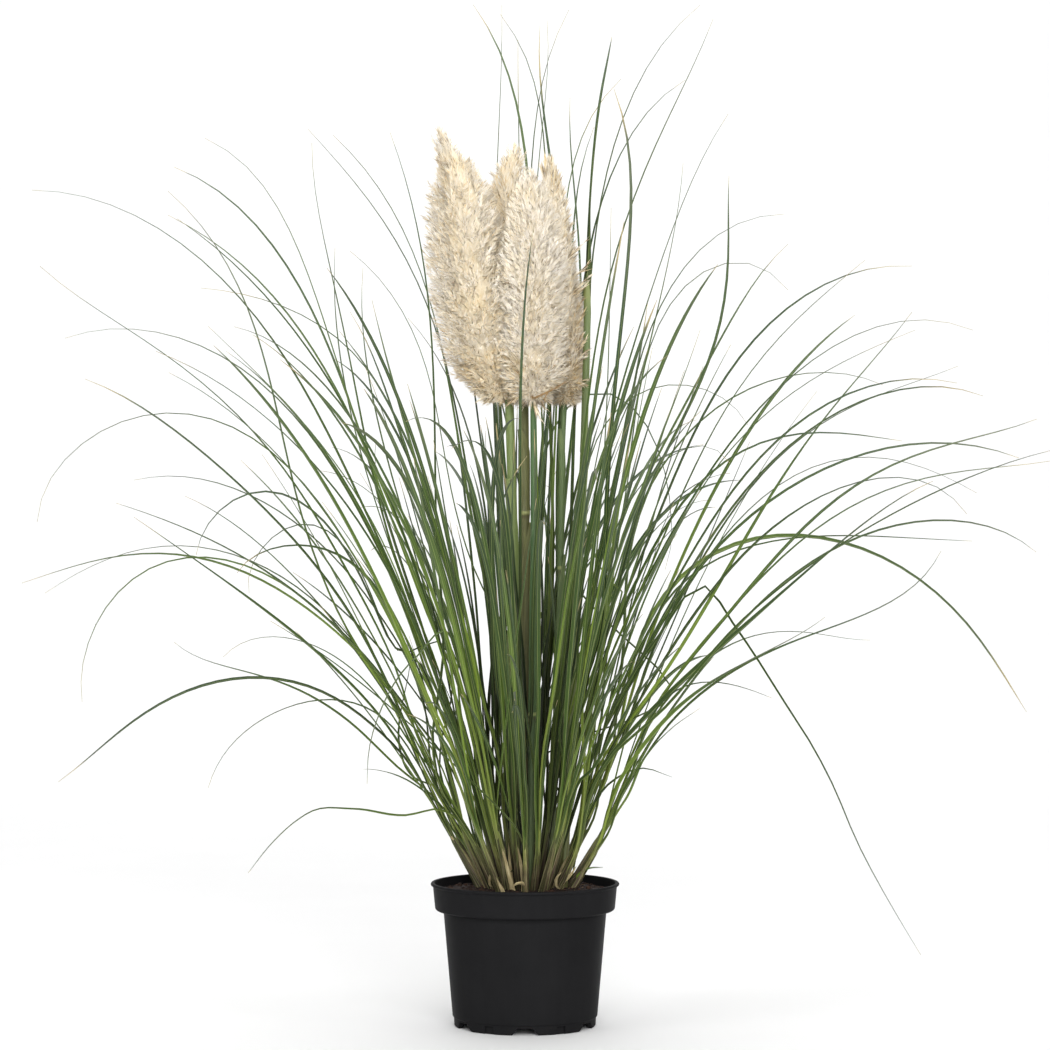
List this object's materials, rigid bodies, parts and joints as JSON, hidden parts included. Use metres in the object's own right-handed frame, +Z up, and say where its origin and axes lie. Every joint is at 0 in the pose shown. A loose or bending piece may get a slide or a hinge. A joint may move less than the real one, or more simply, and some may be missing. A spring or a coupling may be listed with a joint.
{
  "type": "potted pampas grass",
  "caption": "Clump of pampas grass in a round black plastic nursery pot, with arching leaves and upright cream plumes, for patio and garden scenes.",
  "frame": {"origin": "middle of the pot's foot, on the surface the pot stands on", "axes": "+Z up along the pot's axis; -Y is the front, the side the plumes are seen from; +X to the right of that view"},
  "size_m": [1.296, 1.17, 1.268],
  "materials": {
    "pot_plastic": "satin",
    "soil": "matte",
    "leaf": "satin",
    "stem": "satin",
    "plume": "matte"
  },
  "bodies": {
    "root": {"pot": "pot_plastic", "soil": "soil", "stem_left": "stem", "stem_back": "stem", "stem_front": "stem", "stem_right": "stem", "culm": "stem", "plume_left": "plume", "plume_back": "plume", "plume_front": "plume", "plume_right": "plume", "shoot_01": "leaf", "shoot_02": "leaf", "shoot_03": "leaf", "shoot_04": "leaf", "shoot_05": "leaf", "shoot_06": "leaf", "shoot_07": "leaf", "shoot_08": "leaf", "shoot_09": "leaf", "shoot_10": "leaf", "shoot_11": "leaf", "shoot_12": "leaf", "shoot_13": "leaf", "shoot_14": "leaf", "shoot_15": "leaf", "shoot_16": "leaf", "shoot_17": "leaf", "shoot_18": "leaf", "shoot_19": "leaf", "shoot_20": "leaf", "shoot_21": "leaf", "shoot_22": "leaf", "shoot_23": "leaf", "shoot_24": "leaf", "shoot_25": "leaf", "shoot_26": "leaf", "shoot_27": "leaf", "shoot_28": "leaf", "shoot_29": "leaf", "shoot_30": "leaf", "shoot_31": "leaf", "shoot_32": "leaf", "shoot_33": "leaf", "shoot_34": "leaf", "shoot_35": "leaf", "shoot_36": "leaf", "shoot_37": "leaf", "shoot_38": "leaf", "shoot_39": "leaf", "shoot_40": "leaf", "shoot_41": "leaf", "shoot_42": "leaf", "shoot_43": "leaf", "shoot_44": "leaf", "shoot_45": "leaf", "shoot_46": "leaf"}
  },
  "joints": []
}
